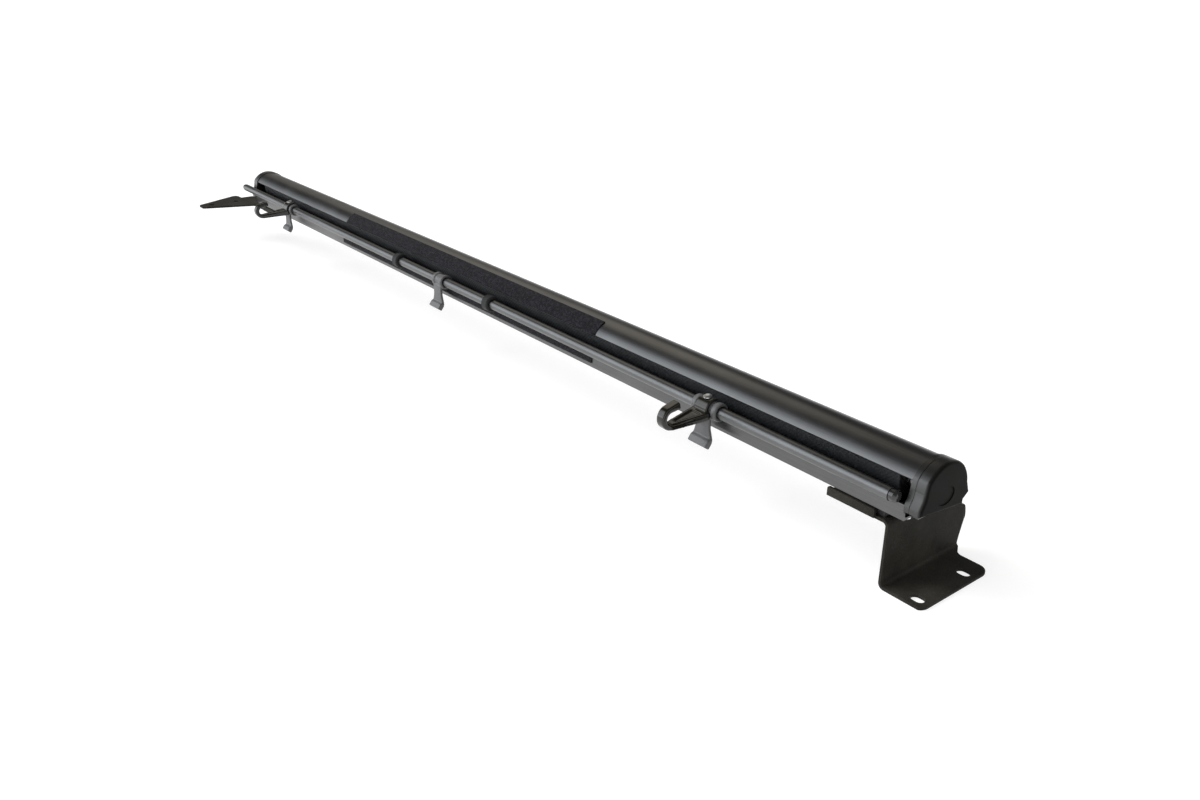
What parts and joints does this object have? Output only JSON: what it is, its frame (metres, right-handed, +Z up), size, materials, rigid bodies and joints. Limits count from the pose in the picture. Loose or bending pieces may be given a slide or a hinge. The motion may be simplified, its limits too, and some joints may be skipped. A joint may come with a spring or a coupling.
{
  "type": "bed cargo bar",
  "caption": "Bed cargo bar: a spring-roller screen cassette with a pull tube, swinging hooks and finger tabs, carried on slotted end brackets.",
  "frame": {"origin": "middle of the whole object's box, at the height of the right foot's underside", "axes": "+X along the bar towards the end with the folded foot, +Y to the back of the bar, +Z up"},
  "size_m": [1.5541, 0.1934, 0.1224],
  "materials": {
    "rail_metal": "satin black anodised",
    "tube_metal": "satin dark grey anodised",
    "bracket_paint": "satin black paint",
    "cap_plastic": "fine grain black",
    "tab_plastic": "matte dark grey",
    "hook_metal": "gloss black",
    "black_rubber": "matte",
    "loop_fabric": "looped pile",
    "screen_mesh": "coated weave",
    "steel": "zinc plated",
    "nylon": "natural"
  },
  "bodies": {
    "housing": {"rail": "rail_metal", "hood": "rail_metal", "hood_loop_strip": "loop_fabric", "lip_loop_strip": "loop_fabric", "left_end_cap": "cap_plastic", "right_end_cap": "cap_plastic", "left_cap_screw_front": "steel", "left_cap_screw_back": "steel", "right_cap_screw_front": "steel", "right_cap_screw_back": "steel", "idler_pin": "steel", "spring_mandrel": "nylon", "return_spring": "steel", "screen_web": "screen_mesh", "right_bracket": "bracket_paint", "left_bracket": "bracket_paint", "left_pad": "black_rubber", "right_pad": "black_rubber", "left_nut_plate": "steel", "right_nut_plate": "steel", "left_bolt_inner": "steel", "left_bolt_outer": "steel", "right_bolt_inner": "steel", "right_bolt_outer": "steel"},
    "roller": {"roller_tube": "steel", "screen_roll": "screen_mesh", "spring_end_plug": "nylon", "idler_end_plug": "nylon", "idler_bush": "steel"},
    "pull_bar": {"pull_tube": "tube_metal", "hem_rod": "nylon", "tube_plug_left": "black_rubber", "tube_plug_right": "black_rubber", "bumper_left": "black_rubber", "bumper_right": "black_rubber"},
    "left_hook": {"hook_left": "hook_metal", "hook_saddle_left": "tab_plastic", "hook_screw_left": "steel"},
    "right_hook": {"hook_right": "hook_metal", "hook_saddle_right": "tab_plastic", "hook_screw_right": "steel"},
    "middle_tab": {"pull_tab": "tab_plastic"}
  },
  "joints": [
    {"name": "pull_out", "type": "slide", "parent": "housing", "child": "pull_bar", "axis": [0, -1, 0], "range_m": [0, 0.8], "stiffness_N_per_m": 20, "springref_m": -0.8, "deforming": ["screen_web"]},
    {"name": "roller_spin", "type": "hinge", "parent": "housing", "child": "roller", "pos_m": [0.0443, 0.0145, 0.0982], "axis": [-1, 0, 0], "range_deg": [0, 3275]},
    {"name": "left_hook_swing", "type": "hinge", "parent": "pull_bar", "child": "left_hook", "pos_m": [-0.4802, -0.022, 0.0952], "axis": [-1, 0, 0], "range_deg": [0, 75]},
    {"name": "right_hook_swing", "type": "hinge", "parent": "pull_bar", "child": "right_hook", "pos_m": [0.5328, -0.022, 0.0952], "axis": [-1, 0, 0], "range_deg": [0, 75]},
    {"name": "middle_tab_swing", "type": "hinge", "parent": "pull_bar", "child": "middle_tab", "pos_m": [0.0263, -0.022, 0.0952], "axis": [-1, 0, 0], "range_deg": [0, 80]}
  ],
  "couplings": [
    {"joint": "roller_spin", "follows": "pull_out", "rad_per_m": 71.4}
  ]
}
